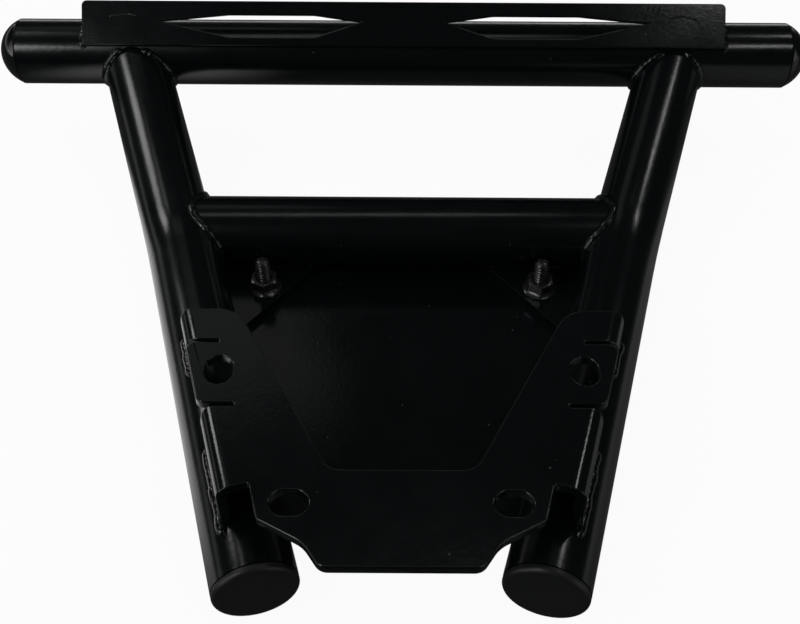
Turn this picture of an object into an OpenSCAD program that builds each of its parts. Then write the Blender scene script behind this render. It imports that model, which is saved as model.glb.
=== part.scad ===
// Front bumper for a quad bike: a welded tube frame with a mounting bracket and a skid plate.
// It lies on its skid plate. +X is across the bumper, +Y points to the top cross tube, +Z is up.
// Millimetres. The origin is at the middle of the underside.

/* [Tubes] */
// Outer diameter of every tube
tube_d = 38.1; // [34:0.1:42]
// Wall of every tube
tube_wall = 2.4; // [1.8:0.1:3.2]
// Length of the top cross tube between its caps
top_tube_len = 456.4; // [440:0.2:490]
// Distance of the lower cross tube's axis beyond the leg bends
cross_tube_y = 11; // [4:0.5:16]

/* [Legs] */
// Distance between the two leg axes at their bends
bend_spacing = 241.2; // [235:0.2:260]
// Length of each straight lower leg, from the bend to its end face
leg_len = 218.5; // [212:0.5:240]
// Angle of the lower legs from straight ahead
leg_angle = 16; // [14:0.25:17]
// Angle of the upper legs from straight ahead
upper_angle = 18; // [16:0.25:20]
// Climb of the upper legs
leg_climb = 13.6; // [10:0.1:20]
// Centre line radius of each leg's bend
bend_radius = 115; // [95:1:130]
// Distance from the bends to the top tube's axis
upper_reach = 129; // [120:1:150]
// How far the leg axes pass below the top tube's axis
joint_drop = 3; // [2:0.1:3.4]

/* [End caps] */
// Height of the domed caps on the top tube
dome_h = 13.3; // [8:0.1:16]
// Depth of each domed cap's spigot in its tube
spigot_len = 14; // [8:1:25]
// Clearance between a spigot and its tube, on the radius
spigot_gap = 0.15; // [0.1:0.05:0.4]
// Thickness of the flat discs on the leg ends
disc_t = 4; // [3:0.5:6]
// Chamfer on the rim of a flat disc
disc_chamfer = 2; // [0.4:0.1:3]

/* [Strip plate] */
// Distance of the strip plate's ends inside the top tube's ends
strip_inset = 40.7; // [30:0.1:44]
// Width of the strip plate
strip_w = 25.7; // [25:0.1:30]
// Radius on the strip plate's upper corners
strip_corner = 3; // [1:0.5:6]
// Thickness of the strip plate
strip_t = 4; // [3:0.2:5]
// Lean of the strip plate from level
strip_lean = 44.5; // [38:0.5:50]
// Distance of the strip plate's lower edge below its line of contact with the tube
strip_below = 0.5; // [0.3:0.1:1]
// Length of each opening, tip to tip
opening_len = 118; // [100:0.2:122]
// Height of each opening
opening_h = 13.1; // [10:0.1:15]
// Length of the flat middle of each opening
opening_flat = 50; // [40:1:60]
// Distance of the flat middle towards the strip plate's centre
opening_shift = 6.5; // [0:0.5:12]
// Distance between the centres of the two openings
opening_pitch = 167; // [160:0.4:180]
// Radius on the blunt corners of the openings
opening_r = 20; // [5:1:40]
// How far the openings sit below the middle of the strip plate
opening_drop = 1.5; // [0:0.1:2.4]
// Distance of the openings' tips above their middle
tip_rise = 2.6; // [0:0.1:4]

/* [Mounting bracket] */
// Thickness of the bracket
bracket_t = 4.8; // [4:0.1:6]
// Height of the bracket's top face above the leg axes
bracket_h = 44; // [38:0.5:50]
// Distance of the flanges' outer faces outside the leg axes
flange_out = 8.6; // [5:0.1:10]
// Outer radius of the flange bends
bend_r = 7; // [6.5:0.1:9]
// Distance of the ears' top edge below the leg bends
ear_y = 87.8; // [80:0.2:95]
// Distance of the upper slits below the leg bends
slit_upper_y = 107.5; // [104:0.5:110]
// Distance of the lower slits below the leg bends
slit_lower_y = 143.5; // [140:0.5:150]
// Width of the slits
slit_w = 1.8; // [1.2:0.1:2.5]
// Length of the slits, from the flanges' outer faces
slit_len = 16.2; // [12.4:0.1:18]
// Corner radius of the flat tabs between the slits
tab_r = 4; // [2:0.5:6]
// Length along the leg from its bend to the end of the flanges
flange_end = 192.5; // [185:0.5:200]
// Step in from the flanges' outer faces to the plate's free edges
notch_in = 13.9; // [9:0.1:16]
// Length along the leg from its bend to the end of the free edges
notch_end = 210; // [204:0.5:212]
// Distance of the bracket's bottom edge below the leg bends
bracket_end = 221.8; // [219:0.2:235]
// Distance of the bottom edge's ends inside the leg axes
bottom_in = 25.5; // [22:0.1:30]
// Distance of the knees above the bottom edge inside the leg axes
knee_in = 21.5; // [19:0.1:24]
// Height of those knees above the bottom edge
knee_rise = 10.8; // [9:0.2:14]
// Distance of the ears' inner corners inside the leg axes
ear_in = 19.2; // [16:0.2:24]
// Distance of the V opening's bottom corners inside the leg axes
vee_in = 39.5; // [36:0.1:43]
// Distance of the V opening's bottom edge below the leg bends
vee_end = 176.8; // [170:0.2:182]
// Radius on the inner corners of the ears
ear_r = 16; // [10:1:20]
// Radius in the bottom corners of the V opening
vee_r = 9; // [5:1:14]
// Radius on the outer corners of the bracket
corner_r = 3; // [2:0.5:5]
// Radius on the knees above the bottom edge
knee_r = 14; // [6:1:20]

/* [Bracket slots] */
// Width of all four slots
slot_w = 12; // [9:0.1:13]
// Length of all four slots
slot_len = 16; // [14:0.1:19]
// Distance of the upper slots' centres inside the leg axes
upper_slot_in = 3.9; // [2:0.1:6]
// Distance of the upper slots below the leg bends
upper_slot_y = 124.4; // [122:0.2:127]
// Distance of the lower slots' centres inside the leg axes
lower_slot_in = 20.1; // [18:0.1:23]
// Distance of the lower slots below the leg bends
lower_slot_y = 192.9; // [190:0.2:198]

/* [Skid plate and gussets] */
// Thickness of the skid plate
skid_t = 4.8; // [4.6:0.1:6]
// Distance of the skid plate's end below the leg bends
skid_end = 168; // [155:1:175]
// Distance of the skid plate's edges outside the leg axes
skid_out = 6; // [3:0.5:10]
// Corner radius of the skid plate
skid_r = 8; // [5:1:12]
// Thickness of the gussets
gusset_t = 4.8; // [4:0.1:6]
// Distance of the gussets' inner corners inside the leg axes
gusset_in = 76.5; // [74:0.5:80]
// Distance of the gussets' lower corners below the leg bends
gusset_drop = 60.5; // [58:0.5:66]
// How far the gussets reach in under the tubes
gusset_lap = 3.6; // [3:0.1:5]
// Length clipped off the gussets' corners at the tube joint
gusset_clip = 16; // [15:0.5:18]

/* [Bolts] */
// Diameter of the bolts
bolt_d = 8; // [6:0.5:8]
// Length of the bolts
bolt_len = 30; // [28:1:35]
// Diameter of the countersunk heads
head_d = 16; // [15:0.5:16.5]
// Clearance of the bolts in their holes, on the radius
bolt_gap = 0.5; // [0.3:0.1:1]
// Clearance of the bolts in their nuts, on the radius
thread_gap = 0.05; // [0.05:0.01:0.1]
// Distance of the bolts inside the leg axes
bolt_in = 40.5; // [39:0.1:42]
// Distance of the bolts below the leg bends
bolt_y = 18.6; // [16:0.2:24]
// Width of the hex sockets across corners
socket_d = 5.8; // [5:0.1:6]
// Depth of the hex sockets
socket_h = 2.6; // [2:0.1:3]
// Width of the nuts across flats
nut_af = 13; // [12:0.5:14]
// Height of the nuts with their flange
nut_h = 8; // [6.5:0.5:9]
// Diameter of the nuts' flange
nut_flange_d = 17.9; // [16.5:0.1:19]
// Thickness of the nuts' flange
nut_flange_t = 1.8; // [1.2:0.1:2.5]

/* [Welds] */
// Size of the weld beads at the tube joints
weld = 3; // [2:0.1:4]
// Radius of the thin beads along the plates
bead_r = 2.4; // [1.6:0.1:3]
// Length of the bead at the foot of each upper flange
upper_bead_len = 25; // [18:1:28]
// Distance from the bend to the start of the lower flange beads
lower_bead_start = 149; // [147:1:156]
// Distance the lower flange beads run past the flanges
bead_past = 3; // [1:0.5:6]

/* [Hidden] */

// Facets of round forms
$fn = 96;
// Straight steps in each rounded corner of an outline
arc_steps = 10;
// Overrun of a cutting form past the faces that it cuts
over = 1;
// How far the straight parts of a leg run into its bend, and how much thicker the bend's wall is
bend_lap = 1;
bend_swell = 0.05;

tube_r = tube_d / 2;
bore_r = tube_r - tube_wall;
bend_x = bend_spacing / 2;

// The bend lies in a plane that leans outwards, because the two straight parts differ in plan.
plan_turn = upper_angle - leg_angle;
bend_angle = acos(cos(leg_climb) * cos(plan_turn));
bend_tilt = atan2(cos(leg_climb) * sin(plan_turn), sin(leg_climb));
bend_tangent = bend_radius * tan(bend_angle / 2);
upper_len = upper_reach / cos(upper_angle) / cos(leg_climb);
top_tube_z = upper_len * sin(leg_climb) + joint_drop / cos(leg_climb);

skid_z = -tube_r - skid_t;
gusset_z = -tube_r + gusset_t;
base_y = (bracket_end - upper_reach - tube_r) / 2;
base_z = -skid_z;

dome_r = (tube_r * tube_r + dome_h * dome_h) / (2 * dome_h);
strip_len = top_tube_len - 2 * strip_inset;
flange_inner = flange_out - bracket_t;
plate_edge = flange_out - bend_r;
free_edge = flange_out - notch_in;
flange_foot = sqrt(tube_r * tube_r - flange_out * flange_out);

// A point beside the right leg's axis, by its distance from the bend and its distance outside.
function beside_leg(s, out) = [
    bend_x - s * sin(leg_angle) + out * cos(leg_angle),
    -s * cos(leg_angle) - out * sin(leg_angle)
];

// The distance from the bend at which a line beside the leg reaches a given Y.
function leg_at_y(y, out) = (-y - out * sin(leg_angle)) / cos(leg_angle);

// The X of a line beside the right leg at a given Y.
function x_at_y(y, out) = beside_leg(leg_at_y(y, out), out)[0];

// The point at a given Y that lies a given distance across from the right leg's axis.
function in_from_leg(y, in) = [x_at_y(y, 0) - in, y];

steel = [0.08, 0.08, 0.085];
bare = [0.3, 0.3, 0.31];
gloss = [0.05, 0.05, 0.055];

// Places its children, drawn about the leg bends, on the floor and centred on the origin.
module stand() {
    translate([0, base_y, base_z]) children();
}

module mirrored(side) {
    if (side < 0) mirror([1, 0, 0]) children();
    else children();
}

// Turns its children, drawn with +X along the lower leg from its end face to its bend.
module along_leg() {
    translate([bend_x, 0, 0]) rotate([0, 0, 90 - leg_angle]) children();
}

module rod_x(r, from, to) {
    translate([from, 0, 0]) rotate([0, 90, 0]) cylinder(r = r, h = to - from);
}

module section(r, bore) {
    difference() {
        circle(r = r);
        if (bore > 0) circle(r = bore);
    }
}

// A leg from its lower end to its upper end. Its straight parts end inside the bend's wall.
module leg_form(r, end, top, bore = 0) {
    along_leg() rotate([bend_tilt, 0, 0]) {
        translate([-end, 0, 0]) rotate([0, 90, 0])
            linear_extrude(end - bend_tangent + bend_lap) section(r, bore);
        translate([-bend_tangent, 0, bend_radius]) rotate([90, 0, 0]) rotate([0, 0, -90])
            rotate_extrude(angle = bend_angle) translate([bend_radius, 0])
                section(r + bend_swell, bore - bend_swell);
        rotate([0, -bend_angle, 0]) translate([bend_tangent - bend_lap, 0, 0]) rotate([0, 90, 0])
            linear_extrude(top - bend_tangent + bend_lap) section(r, bore);
    }
}

module upper_leg_form(r, top) {
    along_leg() rotate([bend_tilt, 0, 0])
        rotate([0, -bend_angle, 0]) rod_x(r, bend_tangent, top);
}

module leg_solid() {
    leg_form(tube_r, leg_len, upper_len);
}

module top_form(r, half) {
    translate([0, upper_reach, top_tube_z]) rod_x(r, -half, half);
}

module cross_form(r, half) {
    translate([0, cross_tube_y, 0]) rod_x(r, -half, half);
}

module top_cross_tube() {
    color(steel) difference() {
        top_form(tube_r, top_tube_len / 2);
        top_form(bore_r, top_tube_len / 2 + over);
    }
}

module dome_cap(side) {
    color(gloss) mirrored(side) translate([top_tube_len / 2, upper_reach, top_tube_z])
        rotate([0, 90, 0]) rotate_extrude() {
            intersection() {
                translate([0, dome_h - dome_r]) circle(r = dome_r);
                square([tube_d, tube_d]);
            }
            translate([0, -spigot_len]) square([bore_r - spigot_gap, spigot_len + over]);
        }
}

// The joint is cut back a little, so that the leg meets the top tube from one side only.
module leg_tube(side) {
    color(steel) mirrored(side) difference() {
        leg_form(tube_r, leg_len - disc_t, upper_len - tube_wall, bore_r);
        top_form(tube_r, top_tube_len / 2);
    }
}

module end_disc(side) {
    color(steel) mirrored(side) along_leg() translate([-leg_len, 0, 0]) rotate([0, 90, 0]) {
        cylinder(r1 = tube_r - disc_chamfer, r2 = tube_r, h = disc_chamfer);
        translate([0, 0, disc_chamfer]) cylinder(r = tube_r, h = disc_t - disc_chamfer);
    }
}

module lower_cross_tube() {
    color(steel) difference() {
        cross_form(tube_r, bend_x);
        cross_form(bore_r, bend_x + over);
        leg_solid();
        mirror([1, 0, 0]) leg_solid();
    }
}

// The space beside and below the gussets, where a tube joint has no bead.
module below_gussets() {
    translate([0, -2 * tube_d, gusset_z - 2 * tube_d]) cube([2 * bend_x, 4 * tube_d, 2 * tube_d]);
}

// The space on the far side of the strip plate's lower edge.
module behind_strip_edge() {
    on_strip() translate([-strip_len / 2, -strip_below, -2 * tube_d])
        cube([strip_len, 2 * tube_d, 4 * tube_d]);
}

module top_weld(side) {
    color(steel) mirrored(side) difference() {
        intersection() {
            upper_leg_form(tube_r + weld, upper_len);
            top_form(tube_r + weld, top_tube_len / 2);
        }
        upper_leg_form(tube_r, upper_len + over);
        top_form(tube_r, top_tube_len / 2);
        behind_strip_edge();
    }
}

module cross_weld(side) {
    color(steel) mirrored(side) difference() {
        intersection() {
            leg_form(tube_r + weld, bend_tangent + tube_d, bend_tangent + tube_d);
            translate([0, cross_tube_y, 0]) rod_x(tube_r + weld, bend_x - tube_d, bend_x - weld);
        }
        leg_solid();
        cross_form(tube_r, bend_x + over);
        below_gussets();
    }
}

// Turns its children, drawn with +X along the strip, +Y up its face and +Z out of it.
module on_strip() {
    translate([0, upper_reach, top_tube_z]) rotate([strip_lean, 0, 0])
        translate([0, 0, tube_r]) children();
}

function unit(v) = v / norm(v);

function turned(v, a) = [v[0] * cos(a) - v[1] * sin(a), v[0] * sin(a) + v[1] * cos(a)];

// The points of an arc of radius r that rounds corner c between its neighbours p and n.
function arc_at(p, c, n, r) = let (
    a = unit(p - c),
    b = unit(n - c),
    half = acos(a * b) / 2,
    centre = c + unit(a + b) * r / sin(half),
    first = c + a * r / tan(half) - centre,
    last = c + b * r / tan(half) - centre,
    sweep = sign(cross(first, last)) * (180 - 2 * half)
) r == 0 ? [c] : [for (i = [0:arc_steps]) centre + turned(first, sweep * i / arc_steps)];

// A closed outline from corners given as [[x, y], radius].
module outline(corners) {
    n = len(corners);
    polygon([
        for (i = [0:n - 1])
            each arc_at(corners[(i + n - 1) % n][0], corners[i][0], corners[(i + 1) % n][0], corners[i][1])
    ]);
}

module opening_outline() {
    half = opening_len / 2;
    inner = -opening_flat / 2 - opening_shift;
    outer = opening_flat / 2 - opening_shift;
    high = opening_h / 2;
    outline([
        [[-half, tip_rise], 0], [[inner, -high], opening_r], [[outer, -high], opening_r],
        [[half, tip_rise], 0], [[outer, high], opening_r], [[inner, high], opening_r]
    ]);
}

module strip_slab() {
    half = strip_len / 2;
    top = strip_w - strip_below;
    on_strip() linear_extrude(strip_t) outline([
        [[-half, -strip_below], 0], [[half, -strip_below], 0],
        [[half, top], strip_corner], [[-half, top], strip_corner]
    ]);
}

module strip_plate() {
    color(steel) difference() {
        strip_slab();
        for (side = [-1, 1])
            on_strip() mirrored(side)
                translate([opening_pitch / 2, strip_w / 2 - strip_below - opening_drop, -over])
                linear_extrude(strip_t + 2 * over) opening_outline();
    }
}

// A fillet on the tube against each end of the strip.
module strip_welds() {
    color(steel) for (side = [-1, 1]) mirrored(side) difference() {
        intersection() {
            translate([0, upper_reach, top_tube_z])
                rod_x(tube_r + weld, strip_len / 2, strip_len / 2 + weld);
            on_strip() translate([0, -strip_below - weld, -tube_r])
                cube([strip_len, strip_below + weld + strip_w / 2, tube_r + 2 * weld]);
        }
        top_form(tube_r, top_tube_len / 2);
        upper_leg_form(tube_r + weld, upper_len);
    }
}

function flipped(corners) = [
    for (i = [len(corners) - 1:-1:0]) [[-corners[i][0][0], corners[i][0][1]], corners[i][1]]
];

module bracket_outline() {
    half = [
        [in_from_leg(-bracket_end, bottom_in), 2 * corner_r],
        [in_from_leg(knee_rise - bracket_end, knee_in), knee_r],
        [beside_leg(notch_end, free_edge), corner_r],
        [beside_leg(flange_end, free_edge), 0],
        [beside_leg(flange_end, plate_edge), 0],
        [[x_at_y(-ear_y, plate_edge), -ear_y], 0],
        [in_from_leg(-ear_y, ear_in), ear_r],
        [in_from_leg(-vee_end, vee_in), vee_r]
    ];
    outline(concat(half, flipped(half)));
}

// The X of the inner end of a slit.
function slit_end(y) = x_at_y(-y, flange_out) - slit_len;

// The flat tab between the two slits of one side.
module tab_outline() {
    top = slit_w / 2 - slit_lower_y;
    high = -slit_w / 2 - slit_upper_y;
    outline([
        [[slit_end(slit_lower_y), top], 0], [[x_at_y(top, flange_out), top], tab_r],
        [[x_at_y(high, flange_out), high], tab_r], [[slit_end(slit_lower_y), high], 0]
    ]);
}

// The plan of the two flanges of one side, above and below its slits.
module flange_outline() {
    high = slit_w / 2 - slit_upper_y;
    low = -slit_w / 2 - slit_lower_y;
    outline([
        [[x_at_y(-ear_y, plate_edge) - over, -ear_y], 0],
        [[x_at_y(high, plate_edge) - over, high], 0],
        [[x_at_y(high, flange_out), high], 0],
        [[x_at_y(-ear_y, flange_out), -ear_y], corner_r]
    ]);
    outline([
        [[x_at_y(low, plate_edge) - over, low], 0],
        [beside_leg(flange_end, plate_edge - over), 0],
        [beside_leg(flange_end, flange_out), 0],
        [[x_at_y(low, flange_out), low], tab_r]
    ]);
}

// Half of the bracket's section across a leg: the bend and the flange, out to +X.
module flange_section() {
    wall = bracket_h - bend_r - flange_foot + over;
    translate([plate_edge - over, bracket_h - bracket_t]) square([over, bracket_t]);
    translate([plate_edge, bracket_h - bend_r]) intersection() {
        difference() {
            circle(r = bend_r);
            circle(r = bend_r - bracket_t);
        }
        square(bend_r);
    }
    translate([flange_inner, flange_foot - over]) square([bracket_t, wall]);
}

module flanges() {
    difference() {
        intersection() {
            along_leg() rotate([90, 0, -90]) linear_extrude(leg_len) flange_section();
            linear_extrude(bracket_h) flange_outline();
        }
        along_leg() rod_x(tube_r, -leg_len, 0);
    }
}

module slot_along_x() {
    reach = (slot_len - slot_w) / 2;
    translate([0, 0, bracket_h - bracket_t - over]) linear_extrude(bracket_t + 2 * over) {
        for (side = [-1, 1]) translate([side * reach, 0]) circle(r = slot_w / 2);
        translate([-reach, -slot_w / 2]) square([2 * reach, slot_w]);
    }
}

module slit(y) {
    translate([slit_end(y), -y - slit_w / 2, 0]) cube([bend_x, slit_w, bracket_h + over]);
}

module mounting_bracket() {
    color(steel) difference() {
        union() {
            translate([0, 0, bracket_h - bracket_t]) linear_extrude(bracket_t) bracket_outline();
            for (side = [-1, 1]) mirrored(side) {
                translate([0, 0, bracket_h - bracket_t]) linear_extrude(bracket_t) tab_outline();
                flanges();
            }
        }
        for (side = [-1, 1]) mirrored(side) {
            slit(slit_upper_y);
            slit(slit_lower_y);
            translate(in_from_leg(-lower_slot_y, lower_slot_in)) slot_along_x();
            translate(in_from_leg(-upper_slot_y, upper_slot_in)) rotate([0, 0, 90]) slot_along_x();
        }
    }
}

module foot_bead(from, to) {
    difference() {
        along_leg() translate([0, -flange_out, flange_foot]) rod_x(bead_r, -to, -from);
        along_leg() rod_x(tube_r, -leg_len, 0);
        along_leg() translate([-leg_len, -flange_out, 0]) cube([leg_len, tube_d, bracket_h]);
    }
}

module bracket_welds(side) {
    upper_end = leg_at_y(slit_w / 2 - slit_upper_y, flange_out);
    color(steel) mirrored(side) {
        foot_bead(upper_end - upper_bead_len, upper_end);
        foot_bead(lower_bead_start, flange_end + bead_past);
    }
}

// Where a gusset's top face meets a tube of the frame, and how far in under it the gusset reaches.
gusset_touch = sqrt(tube_r * tube_r - gusset_z * gusset_z);
gusset_under = gusset_touch - gusset_lap;
gusset_top_y = cross_tube_y - gusset_under;
gusset_inner = in_from_leg(gusset_top_y, gusset_in)[0];
bolt_x = in_from_leg(-bolt_y, bolt_in)[0];

module gusset(side) {
    outer_x = x_at_y(gusset_top_y, -gusset_under);
    color(steel) mirrored(side) difference() {
        translate([0, 0, -tube_r]) linear_extrude(gusset_t) outline([
            [[gusset_inner, gusset_top_y], 0],
            [[x_at_y(-gusset_drop, -gusset_under), -gusset_drop], 0],
            [beside_leg(gusset_clip, -gusset_under), 0],
            [[outer_x - gusset_clip, gusset_top_y], 0]
        ]);
        cross_form(tube_r, bend_x);
        leg_solid();
        translate([bolt_x, -bolt_y, -tube_r - over])
            cylinder(r = bolt_d / 2 + bolt_gap, h = gusset_t + 2 * over);
    }
}

// Thin beads where the gussets' top faces meet the tubes.
module gusset_welds() {
    touch_y = cross_tube_y - gusset_touch;
    start = gusset_clip + bead_r;
    slope = (x_at_y(-gusset_drop, -gusset_under) - gusset_inner) / (gusset_top_y + gusset_drop);
    inner_x = gusset_inner + (gusset_lap + bead_r) * slope;
    outer_x = x_at_y(touch_y, -gusset_under) - start;
    low = leg_at_y(-gusset_drop, -gusset_touch);
    color(steel) for (side = [-1, 1]) mirrored(side) difference() {
        union() {
            translate([0, touch_y, gusset_z]) rod_x(bead_r, inner_x, outer_x);
            along_leg() translate([0, gusset_touch, gusset_z]) rod_x(bead_r, 2 * bead_r - low, -start);
        }
        translate([0, -gusset_drop - tube_d, gusset_z - tube_r])
            cube([2 * bend_x, gusset_drop + 2 * tube_d, tube_r]);
        cross_form(tube_r, bend_x);
        leg_solid();
    }
}

module skid_plate() {
    color(steel) difference() {
        half = [
            [[x_at_y(-skid_end, skid_out), -skid_end], skid_r],
            [[x_at_y(cross_tube_y, skid_out), cross_tube_y], skid_r]
        ];
        translate([0, 0, skid_z]) linear_extrude(skid_t) outline(concat(half, flipped(half)));
        for (side = [-1, 1]) translate([side * bolt_x, -bolt_y, skid_z]) {
            translate([0, 0, -over]) cylinder(r = bolt_d / 2 + bolt_gap, h = skid_t + 2 * over);
            cylinder(r1 = head_d / 2, r2 = bolt_d / 2, h = (head_d - bolt_d) / 2);
        }
    }
}

module skid_bolts() {
    color(bare) for (side = [-1, 1]) translate([side * bolt_x, -bolt_y, skid_z])
        difference() {
            union() {
                cylinder(r1 = head_d / 2, r2 = bolt_d / 2, h = (head_d - bolt_d) / 2);
                cylinder(r = bolt_d / 2, h = bolt_len);
            }
            translate([0, 0, -over]) cylinder(d = socket_d, h = socket_h + over, $fn = 6);
        }
}

module skid_nuts() {
    color(bare) for (side = [-1, 1]) translate([side * bolt_x, -bolt_y, gusset_z])
        difference() {
            union() {
                cylinder(d = nut_flange_d, h = nut_flange_t);
                cylinder(d = nut_af / cos(30), h = nut_h, $fn = 6);
            }
            translate([0, 0, -over]) cylinder(r = bolt_d / 2 + thread_gap, h = nut_h + 2 * over);
        }
}

stand() {
    top_cross_tube();
    dome_cap(-1);  // left_dome_cap
    dome_cap(1);  // right_dome_cap
    strip_plate();
    strip_welds();
    leg_tube(-1);  // left_leg_tube
    leg_tube(1);  // right_leg_tube
    end_disc(-1);  // left_end_disc
    end_disc(1);  // right_end_disc
    lower_cross_tube();
    top_weld(-1);  // left_top_weld
    top_weld(1);  // right_top_weld
    cross_weld(-1);  // left_cross_weld
    cross_weld(1);  // right_cross_weld
    mounting_bracket();
    bracket_welds(-1);  // left_bracket_welds
    bracket_welds(1);  // right_bracket_welds
    gusset(-1);  // left_gusset
    gusset(1);  // right_gusset
    gusset_welds();
    skid_plate();
    skid_bolts();
    skid_nuts();
}
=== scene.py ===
"""The looks of a welded tube bumper for a quad bike, dressed over its packed solids.

Lengths are in metres. +X runs across the bumper, +Y to the top cross tube and +Z up.
"""

import math

import bmesh
import bpy
from bpy.props import FloatProperty, FloatVectorProperty, IntProperty, PointerProperty
from mathutils import Matrix, Vector


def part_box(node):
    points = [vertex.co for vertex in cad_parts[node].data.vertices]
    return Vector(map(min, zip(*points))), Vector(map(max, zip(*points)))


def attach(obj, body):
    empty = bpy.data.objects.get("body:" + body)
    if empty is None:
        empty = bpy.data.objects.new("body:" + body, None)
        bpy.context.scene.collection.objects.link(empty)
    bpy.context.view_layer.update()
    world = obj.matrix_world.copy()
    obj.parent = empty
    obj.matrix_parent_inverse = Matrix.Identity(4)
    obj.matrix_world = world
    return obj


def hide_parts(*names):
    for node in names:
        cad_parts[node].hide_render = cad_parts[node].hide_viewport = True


bl_info = {
    "name": "Bumper Looks",
    "version": (1, 0, 0),
    "blender": (4, 5, 0),
    "location": "3D View > Sidebar > Bumper",
    "description": "Powder coat, weld beads, fasteners and a stage for a welded tube bumper",
    "category": "Object",
}

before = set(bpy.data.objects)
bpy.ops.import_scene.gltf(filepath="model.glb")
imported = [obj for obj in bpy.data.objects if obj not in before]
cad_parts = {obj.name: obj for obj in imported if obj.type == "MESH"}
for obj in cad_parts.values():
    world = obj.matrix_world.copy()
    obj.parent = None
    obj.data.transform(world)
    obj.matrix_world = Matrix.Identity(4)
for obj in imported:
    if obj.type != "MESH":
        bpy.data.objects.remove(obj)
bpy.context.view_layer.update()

MM = 0.001
UP = Vector((0, 0, 1))
SIDES = {"left": -1, "right": 1}

# The frame's own sizes, which the packed solids share.
BEND_X = 120.6 * MM
CROSS_ABOVE_BEND = 11 * MM
LEG_ANGLE = math.radians(16)
UPPER_ANGLE = math.radians(18)
LEG_CLIMB = math.radians(13.6)
BEND_TANGENT = 13.9 * MM
LEG_LENGTH = 218.5 * MM
UPPER_LENGTH = 139.6 * MM
DISC_T = 4 * MM
STRIP_T = 4 * MM
STRIP_LEAN = math.radians(44.5)
STRIP_BELOW = 0.5 * MM
FLANGE_OUT = 8.6 * MM
GUSSET_TOUCH = 12.64 * MM

# Up the strip plate's face, and straight out of it.
STRIP_FACE = Vector((0, math.cos(STRIP_LEAN), math.sin(STRIP_LEAN)))
STRIP_OUT = Vector((0, -math.sin(STRIP_LEAN), math.cos(STRIP_LEAN)))

# Where the beads run: along a leg below its bend, or outwards along the lower cross tube.
FLANGE_RUNS = ((85 * MM, 109 * MM), (152 * MM, 198 * MM))
GUSSET_LEG_RUN = (19 * MM, 61 * MM)
GUSSET_TUBE_RUN = (49.5 * MM, 92 * MM)

# The faint arches on the strip plate over the legs: place, height, radius and half their sweep.
ARCH_X = 163 * MM
ARCH_UP = 17.5 * MM
ARCH_R = 21 * MM
ARCH_SWEEP = 24

ROUND_STEPS = 96
DUST_COLOR = (0.06, 0.06, 0.062)


def middle(node):
    """The middle of a solid's box."""
    low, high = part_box(node)
    return (low + high) / 2


TOP_AXIS = middle("top_cross_tube")
CROSS_AXIS = middle("lower_cross_tube")
TUBE_R = (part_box("top_cross_tube")[1].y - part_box("top_cross_tube")[0].y) / 2
LEG_Z = CROSS_AXIS.z
GUSSET_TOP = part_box("left_gusset")[1].z
BEND_Y = CROSS_AXIS.y - CROSS_ABOVE_BEND


# --- Sizes and colours ---------------------------------------------------------------------


class BumperCoatProps(bpy.types.PropertyGroup):
    """The powder coat and the other finishes."""

    tube_color: FloatVectorProperty(
        name="Tube colour", description="Colour of the powder coat on the tubes",
        subtype="COLOR", size=3, min=0, max=1, default=(0.0012, 0.0021, 0.0024))
    plate_color: FloatVectorProperty(
        name="Plate colour", description="Colour of the powder coat on the plates",
        subtype="COLOR", size=3, min=0, max=1, default=(0.0017, 0.0027, 0.0030))
    # Painted light: the discs' colour is lighter than the tubes' coat to stand in for the light
    # that falls on their faces.
    disc_color_with_painted_light: FloatVectorProperty(
        name="Disc colour", description="Colour of the flat discs on the leg ends",
        subtype="COLOR", size=3, min=0, max=1, default=(0.0055, 0.0062, 0.0062))
    cap_color: FloatVectorProperty(
        name="Cap colour", description="Colour of the domed plastic caps",
        subtype="COLOR", size=3, min=0, max=1, default=(0.0022, 0.0028, 0.0030))
    steel_color: FloatVectorProperty(
        name="Fastener colour", description="Colour of the black-plated studs and nuts",
        subtype="COLOR", size=3, min=0, max=1, default=(0.055, 0.055, 0.058))
    roughness: FloatProperty(
        name="Coat roughness", description="Roughness of the powder coat", min=0, max=1,
        subtype="FACTOR", default=0.2)
    peel_size: FloatProperty(
        name="Texture size", description="Size of the small waves in the powder coat",
        min=0.0005, max=0.02, unit="LENGTH", default=2.6 * MM)
    peel_height: FloatProperty(
        name="Texture height", description="Height of the small waves in the powder coat",
        min=0, max=0.001, unit="LENGTH", default=0.04 * MM)


class BumperEdgeProps(bpy.types.PropertyGroup):
    """The rounding that the coat gives to cut edges."""

    plate: FloatProperty(
        name="Plate edges", description="Rounding on the edges of the thick plates",
        min=0, max=0.002, unit="LENGTH", default=0.7 * MM)
    thin: FloatProperty(
        name="Thin plate edges", description="Rounding on the gussets' and skid plate's edges",
        min=0, max=0.001, unit="LENGTH", default=0.25 * MM)
    disc: FloatProperty(
        name="Disc rims", description="Rounding on the rims of the flat discs",
        min=0.0001, max=0.0034, unit="LENGTH", default=2.6 * MM)
    steps: IntProperty(
        name="Edge steps", description="Faces across each rounded edge", min=1, max=6, default=3)


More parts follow.
